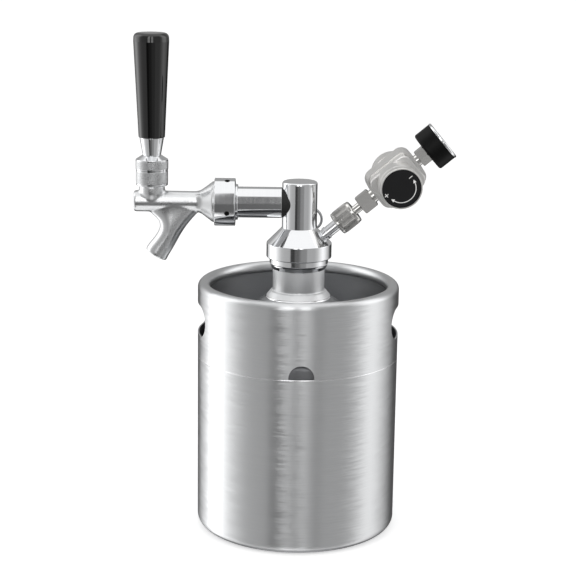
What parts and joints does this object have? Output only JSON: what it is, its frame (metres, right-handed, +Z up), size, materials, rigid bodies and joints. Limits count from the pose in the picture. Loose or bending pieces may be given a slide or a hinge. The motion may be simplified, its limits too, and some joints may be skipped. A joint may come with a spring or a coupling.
{
  "type": "mini keg beer dispenser",
  "caption": "Small upright steel keg with a screw-on tap head: a lever faucet with a black handle on one side, a gas regulator with knob and gauge on the other.",
  "frame": {"origin": "centre of the keg's flat base, on the floor", "axes": "+Z up along the keg's axis, -X towards the faucet, +X towards the regulator, -Y the front with the drain notch and the knob's face"},
  "size_m": [0.2112, 0.134, 0.3307],
  "materials": {
    "steel_satin": "satin drawn stainless sheet",
    "steel_polished": "bright polished stainless steel",
    "chrome": "bright chrome plate",
    "zinc_cast": "satin nickel-plated die casting",
    "brass": "machined",
    "rubber": "moulded",
    "nylon": "moulded nylon",
    "black_gloss": "glossy moulded plastic",
    "black_paint": "black stove enamel",
    "black_disc": "printed matt black disc",
    "dial": "white printed dial",
    "clear": "clear window",
    "spring_steel": "drawn spring wire"
  },
  "bodies": {
    "keg": {"keg_vessel": "steel_satin", "keg_dome": "steel_satin", "keg_collar": "steel_satin", "keg_rim": "steel_satin", "keg_neck": "steel_satin"},
    "head": {"neck_seal": "rubber", "tap_head": "chrome", "dip_tube": "steel_polished", "dip_tube_seal": "rubber", "shank_seal": "rubber", "shank_tube": "steel_polished", "shank_ring": "steel_polished", "coupling_gasket": "rubber", "faucet_body": "chrome", "ball_seat": "nylon", "friction_washer": "nylon", "bonnet": "chrome", "gas_stub": "chrome", "regulator_tail": "chrome", "regulator_body": "zinc_cast", "regulator_front": "zinc_cast", "body_screws": "steel_polished", "cartridge_seal": "rubber", "piercing_pin": "steel_polished", "diaphragm": "rubber", "poppet": "brass", "poppet_spring": "spring_steel", "adjusting_spring": "spring_steel", "gauge_stem": "chrome", "gauge_case": "black_paint", "gauge_bezel": "chrome", "gauge_lens": "clear", "gauge_dial": "dial", "gauge_movement": "brass", "bourdon_tube": "brass", "relief_body": "chrome", "relief_spring": "spring_steel"},
    "lever": {"lever": "steel_polished", "lever_collar": "chrome", "ferrule": "chrome", "handle": "black_gloss"},
    "plunger": {"plunger": "steel_polished", "valve_washer": "rubber", "valve_nut": "steel_polished"},
    "coupling": {"coupling_nut": "chrome"},
    "swivel": {"swivel_nut": "chrome"},
    "knob": {"knob": "zinc_cast", "knob_face": "black_disc"},
    "button": {"spring_button": "brass"},
    "pointer": {"gauge_pointer": "black_paint"},
    "relief": {"relief_stem": "steel_polished", "relief_seal": "rubber"},
    "ring": {"pull_ring": "spring_steel"}
  },
  "joints": [
    {"name": "head_lift", "type": "slide", "parent": "keg", "child": "head", "axis": [0, 0, 1], "range_m": [0, 0.21]},
    {"name": "lever_tilt", "type": "hinge", "parent": "head", "child": "lever", "pos_m": [-0.0972, 0, 0.23405], "axis": [0, -1, 0], "range_deg": [0, 30]},
    {"name": "plunger_slide", "type": "slide", "parent": "head", "child": "plunger", "axis": [1, 0, 0], "range_m": [0, 0.007]},
    {"name": "coupling_turn", "type": "hinge", "parent": "head", "child": "coupling", "pos_m": [-0.049, 0, 0.22085], "axis": [-1, 0, 0], "continuous": true},
    {"name": "swivel_turn", "type": "hinge", "parent": "head", "child": "swivel", "pos_m": [0.03064, 0, 0.21131], "axis": [0.766, 0, 0.6428], "continuous": true},
    {"name": "knob_turn", "type": "hinge", "parent": "head", "child": "knob", "pos_m": [0.06274, 0, 0.23824], "axis": [-0.095, 0.989, 0.1132], "range_deg": [0, 900]},
    {"name": "button_slide", "type": "slide", "parent": "head", "child": "button", "axis": [-0.095, 0.989, 0.1132], "range_m": [0, 0.0032]},
    {"name": "pointer_turn", "type": "hinge", "parent": "head", "child": "pointer", "pos_m": [0.09039, 0, 0.26145], "axis": [-0.766, 0, -0.6428], "range_deg": [0, 270], "stiffness_Nm_per_rad": 0.00002, "springref_deg": -28.65},
    {"name": "relief_pull", "type": "slide", "parent": "head", "child": "relief", "axis": [0.2103, 0.6879, 0.6947], "range_m": [0, 0.0025], "stiffness_N_per_m": 400, "springref_m": -0.002},
    {"name": "ring_swing", "type": "hinge", "parent": "relief", "child": "ring", "pos_m": [0.00862, 0.0282, 0.21178], "axis": [0.9563, -0.2924, 0], "range_deg": [0, 95]}
  ],
  "couplings": [
    {"joint": "plunger_slide", "follows": "lever_tilt", "m_per_rad": 0.0128},
    {"joint": "button_slide", "follows": "knob_turn", "m_per_rad": 0.00019894}
  ]
}
